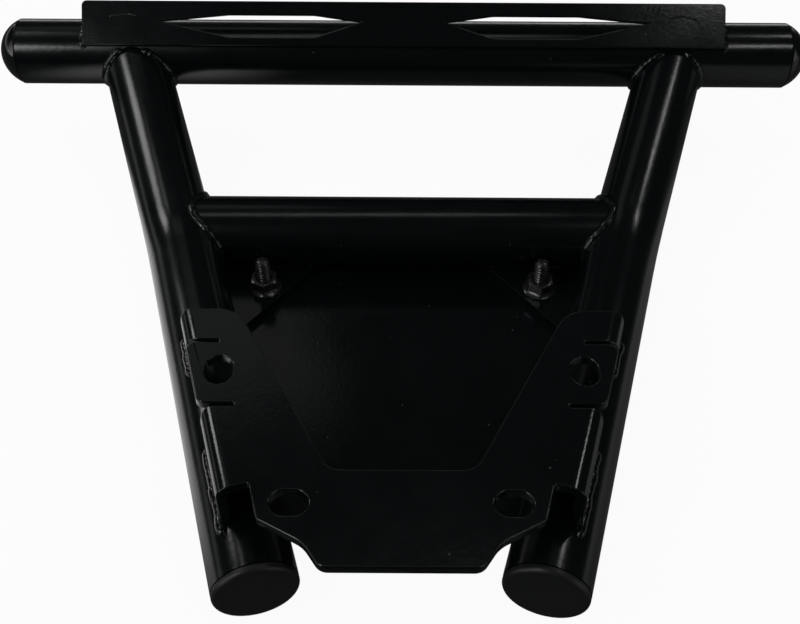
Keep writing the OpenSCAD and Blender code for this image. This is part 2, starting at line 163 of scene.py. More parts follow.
class BumperWeldProps(bpy.types.PropertyGroup):
    """The rippled weld beads."""

    joint_radius: FloatProperty(
        name="Joint bead", description="Radius of the beads round the tube joints",
        min=0.001, max=0.006, unit="LENGTH", default=2.6 * MM)
    plate_radius: FloatProperty(
        name="Plate bead", description="Radius of the beads at the bracket and the strip's ends",
        min=0.0005, max=0.004, unit="LENGTH", default=2.6 * MM)
    thin_radius: FloatProperty(
        name="Gusset bead", description="Radius of the thin beads along the gussets",
        min=0.0005, max=0.004, unit="LENGTH", default=1.6 * MM)
    arch_radius: FloatProperty(
        name="Strip arches", description="Radius of the faint ridges on the strip plate",
        min=0.0003, max=0.002, unit="LENGTH", default=0.7 * MM)
    ripple_pitch: FloatProperty(
        name="Ripple spacing", description="Distance between the ripples of a bead",
        min=0.0005, max=0.006, unit="LENGTH", default=3.4 * MM)
    ripple_depth: FloatProperty(
        name="Ripple depth", description="Depth of the ripples, as a share of the bead's radius",
        min=0, max=0.6, subtype="FACTOR", default=0.07)
    wander: FloatProperty(
        name="Wander", description="How far a bead strays from an even line",
        min=0, max=0.002, unit="LENGTH", default=0.8 * MM)
    seed: IntProperty(
        name="Seed", description="Fixed seed of the beads' uneven shape", min=0, default=7)


class BumperFastenerProps(bpy.types.PropertyGroup):
    """The studs and flange nuts that hold the skid plate."""

    thread_pitch: FloatProperty(
        name="Thread pitch", description="Distance between the turns of the thread",
        min=0.0005, max=0.003, unit="LENGTH", default=1.8 * MM)
    thread_depth: FloatProperty(
        name="Thread depth", description="Depth of the thread",
        min=0.0001, max=0.001, unit="LENGTH", default=0.8 * MM)
    stud_radius: FloatProperty(
        name="Stud radius", description="Outer radius of the thread",
        min=0.002, max=0.006, unit="LENGTH", default=4.0 * MM)
    nut_across: FloatProperty(
        name="Nut width", description="Width of the nuts across flats",
        min=0.008, max=0.02, unit="LENGTH", default=13.0 * MM)


class BumperStageProps(bpy.types.PropertyGroup):
    """The camera, the lamps and the floor."""

    camera_at: FloatVectorProperty(
        name="Camera position", description="Where the camera stands", subtype="XYZ",
        unit="LENGTH", size=3, default=(-0.0010607, -0.3943047, 0.4422036))
    camera_down: FloatProperty(
        name="Camera pitch", description="How far the camera looks down from level",
        subtype="ANGLE", default=math.radians(47.6225))
    camera_roll: FloatProperty(
        name="Camera roll", description="How far the camera is turned about its view",
        subtype="ANGLE", default=math.radians(0.3464))
    lens: FloatProperty(
        name="Lens", description="Focal length for a 36 mm wide sensor",
        min=10, max=200, default=49.2336)
    lamp_level: FloatProperty(
        name="Lamp level", description="Brightness of all lamps together", min=0, default=1.0)
    fill_level: FloatProperty(
        name="Fill level", description="Even light from all round", min=0, default=0.45)


GROUPS = {
    "coat": BumperCoatProps, "edges": BumperEdgeProps, "welds": BumperWeldProps,
    "fasteners": BumperFastenerProps, "stage": BumperStageProps,
}


class BumperProps(bpy.types.PropertyGroup):
    """Everything that a user of the bumper may change."""

    coat: PointerProperty(type=BumperCoatProps)
    edges: PointerProperty(type=BumperEdgeProps)
    welds: PointerProperty(type=BumperWeldProps)
    fasteners: PointerProperty(type=BumperFastenerProps)
    stage: PointerProperty(type=BumperStageProps)


def sizes():
    """The bumper's settings in the current scene."""
    return bpy.context.scene.bumper


# --- Shader expressions --------------------------------------------------------------------


class Value:
    """A shader socket that takes part in plain arithmetic."""

    def __init__(self, tree, socket):
        self.tree, self.socket = tree, socket

    def maths(self, operation, *others):
        """Any other operation of the maths node."""
        return self.tree.node("ShaderNodeMath", {"operation": operation},
                              dict(enumerate([self, *others])))

    def __add__(self, other):
        return self.maths("ADD", other)

    __radd__ = __add__

    def __mul__(self, other):
        return self.maths("MULTIPLY", other)

    __rmul__ = __mul__

    def __sub__(self, other):
        return self.maths("SUBTRACT", other)

    def __rsub__(self, other):
        return self.tree.node("ShaderNodeMath", {"operation": "SUBTRACT"}, {0: other, 1: self})

    def __truediv__(self, other):
        return self.maths("DIVIDE", other)

    def __pow__(self, other):
        return self.maths("POWER", other)

    def rising(self, start, end):
        """0 below start and 1 above end, with a smooth change between them."""
        return self.tree.node("ShaderNodeMapRange", {"interpolation_type": "SMOOTHSTEP"},
                              {"Value": self, "From Min": start, "From Max": end})


class Tree:
    """A node tree that is written out call by call."""

    def __init__(self, tree):
        self.tree = tree
        tree.nodes.clear()

    def node(self, kind, settings=None, sockets=None, output=0):
        """Adds a node of a kind: first its settings, then its sockets' values or links."""
        made = self.tree.nodes.new(kind)
        for name, value in (settings or {}).items():
            setattr(made, name, value)
        for name, value in (sockets or {}).items():
            if isinstance(value, Value):
                self.tree.links.new(value.socket, made.inputs[name])
            else:
                made.inputs[name].default_value = value
        return Value(self, made.outputs[output]) if made.outputs else None

    def mix(self, share, first, second):
        """Mixes two colours."""
        return self.node("ShaderNodeMix", {"data_type": "RGBA"},
                         {0: share, 6: first, 7: second}, output=2)

    def place(self):
        """The point on the surface, in the bumper's own frame."""
        return self.node("ShaderNodeTexCoord", output=3)

    def noise(self, at, size, detail):
        """Cloudy noise whose lumps are about the given size."""
        return self.node("ShaderNodeTexNoise", {},
                         {"Vector": at, "Scale": 1 / size, "Detail": detail})

    def specks(self, at, size, share):
        """1 on a few small scattered dots and 0 between them."""
        near, spot = [self.node("ShaderNodeTexVoronoi", {"feature": "F1"},
                                {"Vector": at, "Scale": 1 / size, "Randomness": 1.0}, output)
                      for output in (0, 2)]
        chosen = self.node("ShaderNodeTexWhiteNoise", {"noise_dimensions": "3D"},
                           {"Vector": spot})
        return (1 - near.rising(0.06, 0.12)) * chosen.maths("GREATER_THAN", 1 - share)

    def split(self, vector):
        """The three parts of a vector."""
        return [self.node("ShaderNodeSeparateXYZ", {}, {"Vector": vector}, part)
                for part in range(3)]

    def bump(self, height, distance, over=None):
        """A bumped normal, over another one where that is given."""
        sockets = {"Height": height, "Distance": distance, "Strength": 1.0}
        if over is not None:
            sockets["Normal"] = over
        return self.node("ShaderNodeBump", {}, sockets)

    def seen_and_mirrored(self):
        """1 for the camera's own view, and 1 for what a shiny or clear surface sees."""
        seen = self.node("ShaderNodeLightPath")
        glossy = self.node("ShaderNodeLightPath", output=3)
        clear = self.node("ShaderNodeLightPath", output=6)
        return seen, (glossy + clear).maths("MINIMUM", 1.0)


def rgba(color, gain=1.0):
    """A colour with its alpha, brighter or darker by a gain."""
    return (*[part * gain for part in color], 1.0)


def material(name):
    """A material by name, with a tree to fill in where it is new."""
    made = bpy.data.materials.get(name)
    if made:
        return made, None
    made = bpy.data.materials.new(name)
    made.use_nodes = True
    return made, Tree(made.node_tree)


def surface(tree, sockets):
    """Ends a material in one Principled shader."""
    shader = tree.node("ShaderNodeBsdfPrincipled", {}, sockets)
    tree.node("ShaderNodeOutputMaterial", {}, {"Surface": shader})


def powder_coat(name, color, roughness, grain=1.0):
    """Satin black powder coat: small waves, finer grain, uneven gloss and a little dust."""
    made, tree = material(name)
    if tree is None:
        return made
    coat = sizes().coat
    at = tree.place()
    waves = tree.noise(at, coat.peel_size * grain, 1.0)
    fine = tree.noise(at, coat.peel_size * grain / 4.5, 2.0)
    broad = tree.noise(at, 45 * MM, 3.0)
    cloud = tree.noise(at, 11 * MM, 4.0)
    dust = tree.specks(at, 5 * MM, 0.045)
    tone = broad.rising(0.3, 0.7) * 0.6 + cloud * 0.4
    gloss = (cloud - 0.5) * 0.09 + (fine - 0.5) * 0.08 + (broad - 0.5) * 0.06
    bumps = tree.bump(waves, coat.peel_height * grain)
    bumps = tree.bump(fine, coat.peel_height * 0.2, bumps)
    bumps = tree.bump(dust, 0.02 * MM, bumps)
    surface(tree, {
        "Base Color": tree.mix(dust * 0.5, tree.mix(tone, rgba(color, 0.82), rgba(color, 1.22)),
                               rgba(DUST_COLOR)),
        "Roughness": gloss + roughness + dust * 0.3,
        "IOR": 1.5,
        "Normal": bumps,
    })
    return made


def weld_coat():
    """Powder coat over a bead: glossier in patches, with fine pits."""
    made, tree = material("weld coat")
    if tree is None:
        return made
    color = sizes().coat.tube_color
    at = tree.place()
    pits = tree.noise(at, 1.6 * MM, 2.0)
    patch = tree.noise(at, 4 * MM, 2.0)
    surface(tree, {
        "Base Color": tree.mix(patch, rgba(color, 0.8), rgba(color, 1.3)),
        "Roughness": patch.rising(0.3, 0.7) * 0.12 + 0.1,
        "IOR": 1.5,
        "Normal": tree.bump(pits, 0.04 * MM),
    })
    return made


def disc_coat():
    """Matte coat on the flat discs, a shade lighter than the tubes. The lighter colour is painted
    light, standing in for the light that falls on the discs' faces.
    """
    made, tree = material("disc coat")
    if tree is None:
        return made
    # The lighter disc colour is painted light on the discs' faces.
    color = sizes().coat.disc_color_with_painted_light
    at = tree.place()
    grain = tree.noise(at, 0.8 * MM, 3.0)
    cloud = tree.noise(at, 9 * MM, 3.0)
    dust = tree.specks(at, 4 * MM, 0.06)
    surface(tree, {
        "Base Color": tree.mix(dust * 0.4, tree.mix(cloud, rgba(color, 0.85), rgba(color, 1.2)),
                               rgba(DUST_COLOR)),
        "Roughness": (cloud - 0.5) * 0.12 + (grain - 0.5) * 0.1 + 0.44,
        "IOR": 1.5,
        "Normal": tree.bump(grain, 0.02 * MM),
    })
    return made


def cap_gloss():
    """Polished black plastic with a faint moulding wave."""
    made, tree = material("cap gloss")
    if tree is None:
        return made
    color = sizes().coat.cap_color
    at = tree.place()
    wave = tree.noise(at, 7 * MM, 1.0)
    smears = tree.noise(at, 3 * MM, 3.0)
    surface(tree, {
        "Base Color": tree.mix(smears, rgba(color, 0.85), rgba(color, 1.2)),
        "Roughness": smears.rising(0.45, 0.8) * 0.08 + 0.05,
        "IOR": 1.55,
        "Normal": tree.bump(wave, 0.02 * MM),
    })
    return made


def black_steel():
    """Black-plated steel with oily, uneven gloss."""
    made, tree = material("black plated steel")
    if tree is None:
        return made
    color = sizes().coat.steel_color
    at = tree.place()
    patch = tree.noise(at, 2.2 * MM, 3.0)
    fine = tree.noise(at, 0.35 * MM, 2.0)
    surface(tree, {
        "Base Color": tree.mix(patch, rgba(color, 0.6), rgba(color, 1.6)),
        "Metallic": 0.85,
        "Roughness": patch.rising(0.25, 0.75) * 0.16 + fine * 0.06 + 0.14,
        "Normal": tree.bump(fine, 0.012 * MM),
    })
    return made


def tube_coat():
    """The coat on the tubes."""
    coat = sizes().coat
    return powder_coat("tube coat", coat.tube_color, coat.roughness)


def plate_coat():
    """The coat on the plates, a little finer and smoother than on the tubes."""
    smoother, finer = 0.04, 0.8
    coat = sizes().coat
    return powder_coat("plate coat", coat.plate_color, coat.roughness - smoother, finer)


# --- Meshes --------------------------------------------------------------------------------


def piece(name, mesh, coat=None):
    """A new object at the origin from a mesh."""
    made = bpy.data.objects.new(name, mesh)
    bpy.context.scene.collection.objects.link(made)
    if coat is not None:
        mesh.materials.clear()
        mesh.materials.append(coat)
    return made


def stands_for(made, nodes):
    """Ties a finished piece to the frame."""
    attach(made, "root")
    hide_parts(*nodes)


def formed(form, name, coat, sharp=35):
    """A piece from a bmesh, with outward normals and crisp edges where it turns sharply."""
    bmesh.ops.remove_doubles(form, verts=form.verts, dist=1e-7)
    bmesh.ops.recalc_face_normals(form, faces=form.faces)
    mesh = bpy.data.meshes.new(name)
    form.to_mesh(mesh)
    form.free()
    mesh.shade_smooth()
    mesh.set_sharp_from_angle(angle=math.radians(sharp))
    return piece(name, mesh, coat)


def turned(form, rings, steps, place):
    """Adds a closed turned shape. A ring is (radius, height), and both may depend on the angle."""

    def at(value, angle):
        return value(angle) if callable(value) else value

    loops = []
    for radius, height in rings:
        if not callable(radius) and radius == 0:
            loops.append([form.verts.new(place @ Vector((0, 0, at(height, 0))))])
            continue
        loop = []
        for step in range(steps):
            angle = 2 * math.pi * step / steps
            r = at(radius, angle)
            loop.append(form.verts.new(
                place @ Vector((r * math.cos(angle), r * math.sin(angle), at(height, angle)))))
        loops.append(loop)
    for lower, upper in zip(loops, loops[1:]):
        for step in range(steps):
            after = (step + 1) % steps
            corners = [lower[step % len(lower)], lower[after % len(lower)],
                       upper[after % len(upper)], upper[step % len(upper)]]
            form.faces.new(list(dict.fromkeys(corners)))


def rounded_copy(node, name, width, coat, steps):
    """A merged copy of a solid with its sharp edges rounded."""
    form = bmesh.new()
    form.from_mesh(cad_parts[node].data)
    bmesh.ops.remove_doubles(form, verts=form.verts, dist=2e-6)
    bmesh.ops.dissolve_limit(form, angle_limit=math.radians(0.6), verts=form.verts,
                             edges=form.edges)
    bmesh.ops.recalc_face_normals(form, faces=form.faces)
    mesh = bpy.data.meshes.new(name)
    form.to_mesh(mesh)
    form.free()
    mesh.shade_smooth()
    made = piece(name, mesh, coat)
    bevel = made.modifiers.new("edges", "BEVEL")
    bevel.width = width
    bevel.segments = steps
    bevel.limit_method = "ANGLE"
    bevel.angle_limit = math.radians(30)
    bevel.use_clamp_overlap = False
    bevel.miter_outer = "MITER_ARC"
    even = made.modifiers.new("shading", "WEIGHTED_NORMAL")
    even.mode = "FACE_AREA"
    even.weight = 100
    even.keep_sharp = False
    return made


def baked(made):
    """Replaces an object by a plain mesh of what its modifiers make."""
    bpy.context.view_layer.update()
    graph = bpy.context.evaluated_depsgraph_get()
    mesh = bpy.data.meshes.new_from_object(made.evaluated_get(graph), depsgraph=graph)
    name = mesh.name = made.name
    bpy.data.objects.remove(made)
    return piece(name, mesh)


# --- Geometry nodes ------------------------------------------------------------------------


class Steps(Tree):
    """A geometry node group with named inputs."""

    def __init__(self, name, inputs):
        super().__init__(bpy.data.node_groups.new(name, "GeometryNodeTree"))
        face = self.tree.interface
        face.new_socket("Geometry", in_out="INPUT", socket_type="NodeSocketGeometry")
        for label, kind in inputs.items():
            face.new_socket(label, in_out="INPUT", socket_type="NodeSocket" + kind)
        face.new_socket("Geometry", in_out="OUTPUT", socket_type="NodeSocketGeometry")
        source = self.tree.nodes.new("NodeGroupInput")
        self.inputs = {socket.name: Value(self, socket) for socket in source.outputs
                       if socket.name}

    def finish(self, geometry):
        """Ends the group: real faces, smooth shading and the coat."""
        real = self.node("GeometryNodeRealizeInstances", {}, {0: geometry})
        smooth = self.node("GeometryNodeSetShadeSmooth", {}, {0: real, "Shade Smooth": True})
        coated = self.node("GeometryNodeSetMaterial", {},
                           {0: smooth, "Material": self.inputs["Coat"]})
        self.node("NodeGroupOutput", {}, {0: coated})
        return self.tree


def run_steps(name, mesh, group, values):
    """Runs a node group over a mesh and keeps the plain result."""
    made = piece(name, mesh)
    steps = made.modifiers.new("shape", "NODES")
    steps.node_group = group
    for item in group.interface.items_tree:
        if item.in_out == "INPUT" and item.name in values:
            steps[item.identifier] = values[item.name]
    return baked(made)


def bead_group():
    """A bead along each line: a closed round strip with ripples and an uneven edge."""
    group = Steps("weld bead", {
        "Radius": "Float", "Pitch": "Float", "Depth": "Float", "Wander": "Float",
        "Seed": "Int", "Coat": "Material"})
    given = group.inputs
    line = group.node("GeometryNodeMeshToCurve", {}, {0: given["Geometry"]})
    line = group.node("GeometryNodeResampleCurve", {"mode": "LENGTH"},
                      {"Curve": line, "Length": given["Pitch"] * 0.125})
    along = group.node("GeometryNodeSplineParameter", output=1)
    share = group.node("GeometryNodeSplineParameter")
    place = group.node("GeometryNodeInputPosition")
    uneven = group.node("ShaderNodeTexNoise", {"noise_dimensions": "4D"}, {
        "Vector": place, "W": given["Seed"] * 1.7, "Scale": 130.0, "Detail": 1.0})
    stray = group.node("ShaderNodeTexNoise", {"noise_dimensions": "4D"}, {
        "Vector": place, "W": given["Seed"] * 2.3, "Scale": 120.0, "Detail": 1.0}, output=1)
    phase = (along / given["Pitch"] + uneven * 0.8).maths("FRACT")
    ripple = 1 - given["Depth"] * (phase ** 1.6)
    length = group.node("GeometryNodeSplineLength")
    from_end = (1 - share).maths("MINIMUM", share) * length
    is_open = 1 - group.node("GeometryNodeInputSplineCyclic")
    taper = (from_end / (given["Radius"] * 1.6)).maths("MINIMUM", 1.0)
    taper = (1 - is_open) + is_open * ((1 - (1 - taper) ** 2.0).maths("MAXIMUM", 0.04) ** 0.5)
    radius = given["Radius"] * ripple * (uneven * 0.5 + 0.75) * taper
    line = group.node("GeometryNodeSetCurveRadius", {}, {"Curve": line, "Radius": radius})
    centred = group.node("ShaderNodeVectorMath", {"operation": "SUBTRACT"},
                         {0: stray, 1: (0.5, 0.5, 0.5)})
    shift = group.node("ShaderNodeVectorMath", {"operation": "SCALE"},
                       {0: centred, "Scale": given["Wander"] * 2})
    line = group.node("GeometryNodeSetPosition", {}, {"Geometry": line, "Offset": shift})
    rim = group.node("GeometryNodeCurvePrimitiveCircle", {"mode": "RADIUS"},
                     {"Resolution": 14, "Radius": 1.0})
    skin = group.node("GeometryNodeCurveToMesh", {},
                      {"Curve": line, "Profile Curve": rim, "Fill Caps": True,
                       "Scale": group.node("GeometryNodeInputRadius")})
    return group.finish(skin)


def stud_group():
    """A threaded stud with a chamfered end on each point."""
    group = Steps("threaded stud", {
        "Radius": "Float", "Length": "Float", "Pitch": "Float", "Depth": "Float",
        "Coat": "Material"})
    given = group.inputs
    rod = group.node("GeometryNodeMeshCylinder", {"fill_type": "TRIANGLE_FAN"}, {
        "Vertices": 48, "Side Segments": given["Length"] / given["Pitch"] * 10,
        "Radius": given["Radius"], "Depth": given["Length"]})
    x, y, z = group.split(group.node("GeometryNodeInputPosition"))
    up = z + given["Length"] * 0.5
    turn = y.maths("ARCTAN2", x) / (2 * math.pi)
    wave = (up / given["Pitch"] - turn + 10).maths("PINGPONG", 0.5) * 2
    chamfer = (given["Length"] - up).maths("MINIMUM", given["Pitch"]) - given["Pitch"]
    radius = (given["Radius"] - given["Depth"] * (1 - wave)).maths(
        "MINIMUM", given["Radius"] + chamfer * 0.75)
    flat = (x * x + y * y) ** 0.5
    gain = (radius / given["Radius"]).maths("MINIMUM", 1.0)
    on_side = flat.maths("GREATER_THAN", given["Radius"] * 0.5)
    gain = gain * on_side + (1 - on_side)
    moved = group.node("ShaderNodeCombineXYZ", {}, {0: x * gain, 1: y * gain, 2: up})
    rod = group.node("GeometryNodeSetPosition", {}, {"Geometry": rod, "Position": moved})
    spread = group.node("GeometryNodeInstanceOnPoints", {},
                        {"Points": given["Geometry"], "Instance": rod})
    return group.finish(spread)


# --- Lines that the welds follow -----------------------------------------------------------


def leg_line(side):
    """A leg's centre line, from its lower end to past the top tube, and its ways down and up."""
    bend = Vector((side * BEND_X, BEND_Y, LEG_Z))
    down = Vector((-side * math.sin(LEG_ANGLE), -math.cos(LEG_ANGLE), 0))
    up = Vector((side * math.cos(LEG_CLIMB) * math.sin(UPPER_ANGLE),
                 math.cos(LEG_CLIMB) * math.cos(UPPER_ANGLE), math.sin(LEG_CLIMB)))
    first, last = bend + down * BEND_TANGENT, bend + up * BEND_TANGENT
    curve = [first * (1 - t) ** 2 + bend * 2 * t * (1 - t) + last * t * t
             for t in [step / 12 for step in range(13)]]
    return [bend + down * LEG_LENGTH, *curve, bend + up * UPPER_LENGTH * 1.2], down, up


def off_line(point, line):
    """The distance from a point to a bent line."""
    best = math.inf
    for start, end in zip(line, line[1:]):
        edge = end - start
        share = max(0, min(1, (point - start).dot(edge) / edge.length_squared))
        best = min(best, (point - start - edge * share).length)
    return best


def meeting(start, along, line, radius):
    """Where a point that travels from start first comes within radius of a line."""
    point, best = start.copy(), (math.inf, start)
    for _ in range(400):
        gap = off_line(point, line) - radius
        if gap < best[0]:
            best = (gap, point.copy())
        if gap < 1e-6:
            break
        point = point + along * max(gap, 2e-5)
        if gap > best[0] + 3 * MM:
            break
    return best[1]


def ring_points(centre, along, radius, angles):
    """Points round an axis, at angles measured from the upward direction."""
    across = along.cross(UP).normalized()
    above = across.cross(along).normalized()
    return [centre + (above * math.cos(a) + across * math.sin(a)) * radius for a in angles]


def line_mesh(name, lines):
    """A mesh of bare lines. Each is a list of points."""
    points, edges = [], []
    for line in lines:
        first = len(points)
        points += [tuple(point) for point in line]
        edges += [(first + i, first + i + 1) for i in range(len(line) - 1)]
    mesh = bpy.data.meshes.new(name)
    mesh.from_pydata(points, edges, [])
    return mesh


def top_joint(side):
    """The seam between a leg and the top tube, as far as the strip plate's edge."""
    line, _, up = leg_line(side)
    axis = [TOP_AXIS + Vector((x, 0, 0)) for x in (-0.3, 0.3)]
    start = line[-2] + up * 60 * MM
    angles = [math.radians(a) for a in range(0, 360, 4)]
    points = [meeting(p, up, axis, TUBE_R) for p in ring_points(start, up, TUBE_R, angles)]
    shown = [(p - TOP_AXIS).dot(STRIP_FACE) < -STRIP_BELOW - 1.5 * MM for p in points]
    first = next((i for i in range(len(points)) if shown[i] and not shown[i - 1]), 0)
    points, shown = points[first:] + points[:first], shown[first:] + shown[:first]
    return [p for p, keep in zip(points, shown) if keep]


def cross_joint(side):
    """The seam between the lower cross tube and a leg, above the gusset."""
    line, _, _ = leg_line(side)
    along = Vector((side, 0, 0))
    start = CROSS_AXIS + along * 60 * MM
    low = math.acos((GUSSET_TOP - 1 * MM - LEG_Z) / TUBE_R)
    angles = [low * (step / 45 - 1) for step in range(91)]
    return [meeting(p, along, line, TUBE_R) for p in ring_points(start, along, TUBE_R, angles)]


def beside_leg(side, run, out, z):
    """A point beside a leg, at a distance along it below its bend."""
    x = BEND_X - run * math.sin(LEG_ANGLE) + out * math.cos(LEG_ANGLE)
    y = BEND_Y - run * math.cos(LEG_ANGLE) - out * math.sin(LEG_ANGLE)
    return Vector((side * x, y, z))


def straight(start, end):
    """24 points along a straight line."""
    return [start.lerp(end, step / 23) for step in range(24)]


def on_strip(x, up, out):
    """A point by its place across the bumper, up the strip plate's face and out from the tube."""
    return TOP_AXIS + Vector((x, 0, 0)) + STRIP_FACE * up + STRIP_OUT * out


def strip_arches():
    """The faint arches on the strip plate, over the legs' ends."""
    out = TUBE_R + STRIP_T - 0.25 * MM
    angles = [math.radians(a) for a in range(-ARCH_SWEEP, ARCH_SWEEP + 1, 2)]
    return [[on_strip(side * ARCH_X + ARCH_R * math.sin(a),
                      ARCH_UP - ARCH_R + ARCH_R * math.cos(a), out) for a in angles]
            for side in SIDES.values()]


def strip_ends():
    """The short lines where the strip plate's ends meet the tube."""
    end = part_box("strip_plate")[1].x + 0.4 * MM
    reach = [(-2.6 + step * 0.6) * MM for step in range(26)]
    return [[on_strip(side * end, up, math.sqrt(TUBE_R ** 2 - up ** 2) + 0.3 * MM)
             for up in reach] for side in SIDES.values()]


# --- Operators -----------------------------------------------------------------------------


class BUMPER_OT_tubes(bpy.types.Operator):
    """Coats the four tubes of the frame"""

    bl_idname = "bumper.tubes"
    bl_label = "Coat the tubes"

    def execute(self, context):
        for node in ("top_cross_tube", "lower_cross_tube", "left_leg_tube", "right_leg_tube"):
            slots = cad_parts[node].material_slots
            if not slots:
                raise RuntimeError(f"{node} has no material slot")
            for slot in slots:
                slot.material = tube_coat()
        return {"FINISHED"}


class BUMPER_OT_plates(bpy.types.Operator):
    """Gives the bracket, strip, gussets and skid plate coated, rounded edges"""

    bl_idname = "bumper.plates"
    bl_label = "Round the plates"

    def execute(self, context):
        edges = sizes().edges
        for node, name, width in (
                ("mounting_bracket", "bracket_plate", edges.plate),
                ("strip_plate", "slotted_strip", edges.plate),
                ("left_gusset", "left_gusset_plate", edges.thin),
                ("right_gusset", "right_gusset_plate", edges.thin),
                ("skid_plate", "skid_sheet", edges.thin)):
            made = rounded_copy(node, name, width, plate_coat(), edges.steps)
            stands_for(baked(made), [node])
        return {"FINISHED"}


class BUMPER_OT_discs(bpy.types.Operator):
    """Makes the flat discs on the leg ends"""

    bl_idname = "bumper.discs"
    bl_label = "Make the end discs"

    def execute(self, context):
        rim = sizes().edges.disc
        for side, sign in SIDES.items():
            _, down, _ = leg_line(sign)
            seat = Vector((sign * BEND_X, BEND_Y, LEG_Z)) + down * (LEG_LENGTH - DISC_T)
            place = Matrix.Translation(seat) @ \
                UP.rotation_difference(down).to_matrix().to_4x4()
            rings = [(0, 0), (TUBE_R - 0.9 * MM, 0), (TUBE_R - 0.5 * MM, 0.3 * MM),
                     (TUBE_R - 0.1 * MM, 0.6 * MM)]
            for step in range(9):
                angle = math.pi / 2 * step / 8
                rings.append((TUBE_R - rim * (1 - math.cos(angle)),
                              DISC_T - rim * (1 - math.sin(angle))))
            rings += [(TUBE_R * 0.6, DISC_T), (0, DISC_T)]
            form = bmesh.new()
            turned(form, rings, ROUND_STEPS, place)
            made = formed(form, f"{side}_leg_disc", disc_coat())
            stands_for(made, [f"{side}_end_disc"])
        return {"FINISHED"}


class BUMPER_OT_caps(bpy.types.Operator):
    """Turns the domed caps on the ends of the top tube"""

    bl_idname = "bumper.caps"
    bl_label = "Turn the domed caps"

    def execute(self, context):
        for side, sign in SIDES.items():
            node = f"{side}_dome_cap"
            low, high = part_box(node)
            radius = (high.y - low.y) / 2
            end = max(abs(low.x), abs(high.x))
            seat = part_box("top_cross_tube")[1].x
            dome = end - seat
            inner = min(abs(low.x), abs(high.x)) - seat
            sphere = (radius ** 2 + dome ** 2) / (2 * dome)
            seam, spigot = 0.35 * MM, 16.4 * MM
            rings = [(0, inner), (spigot - 1.8 * MM, inner), (spigot, inner + 1.5 * MM),
                     (spigot, -0.1 * MM), (radius - 1.2 * MM, 0.02 * MM),
                     (radius - 0.5 * MM, seam), (radius - 0.08 * MM, seam + 0.25 * MM)]
            for step in range(1, 26):
                height = dome * math.sin(step / 26 * math.pi / 2)
                if height > seam + 0.4 * MM:
                    rings.append((math.sqrt(sphere ** 2 - (height + sphere - dome) ** 2), height))
            rings.append((0, dome))
            place = Matrix.Translation((sign * seat, TOP_AXIS.y, TOP_AXIS.z)) @ \
                Matrix.Rotation(sign * math.pi / 2, 4, "Y")
            form = bmesh.new()
            turned(form, rings, ROUND_STEPS, place)
            made = formed(form, f"{side}_gloss_cap", cap_gloss())
            stands_for(made, [node])
        return {"FINISHED"}


class BUMPER_OT_welds(bpy.types.Operator):
    """Lays the rippled weld beads"""

    bl_idname = "bumper.welds"
    bl_label = "Lay the weld beads"

    def execute(self, context):
        welds = sizes().welds
        group = bead_group()
        plans = []
        for side, sign in SIDES.items():
            plans.append((f"{side}_top_bead", [top_joint(sign)], welds.joint_radius,
                          [f"{side}_top_weld"]))
            plans.append((f"{side}_cross_bead", [cross_joint(sign)], welds.joint_radius,
                          [f"{side}_cross_weld"]))
            foot = LEG_Z + math.sqrt(TUBE_R ** 2 - FLANGE_OUT ** 2)
            plans.append((f"{side}_flange_beads", [
                straight(beside_leg(sign, start, FLANGE_OUT, foot),
                         beside_leg(sign, end, FLANGE_OUT, foot))
                for start, end in FLANGE_RUNS],
                welds.plate_radius, [f"{side}_bracket_welds"]))
        plans.append(("strip_beads", strip_ends(), welds.plate_radius, ["strip_welds"]))
        plans.append(("strip_marks", strip_arches(), welds.arch_radius, ["strip_welds"]))
        touch = CROSS_AXIS.y - GUSSET_TOUCH
        plans.append(("gusset_beads", [
            line for sign in SIDES.values() for line in (
                straight(*[Vector((sign * x, touch, GUSSET_TOP)) for x in GUSSET_TUBE_RUN]),
                straight(*[beside_leg(sign, run, -GUSSET_TOUCH, GUSSET_TOP)
                           for run in GUSSET_LEG_RUN]))],
            welds.thin_radius, ["gusset_welds"]))
        for number, (name, lines, radius, nodes) in enumerate(plans):
            if not all(len(line) > 2 for line in lines):
                raise RuntimeError(f"{name} has no line to follow")
            made = run_steps(name, line_mesh(name, lines), group, {
                "Radius": radius, "Pitch": welds.ripple_pitch, "Depth": welds.ripple_depth,
                "Wander": welds.wander * radius / welds.joint_radius,
                "Seed": welds.seed + number, "Coat": weld_coat()})
            stands_for(made, nodes)
        return {"FINISHED"}


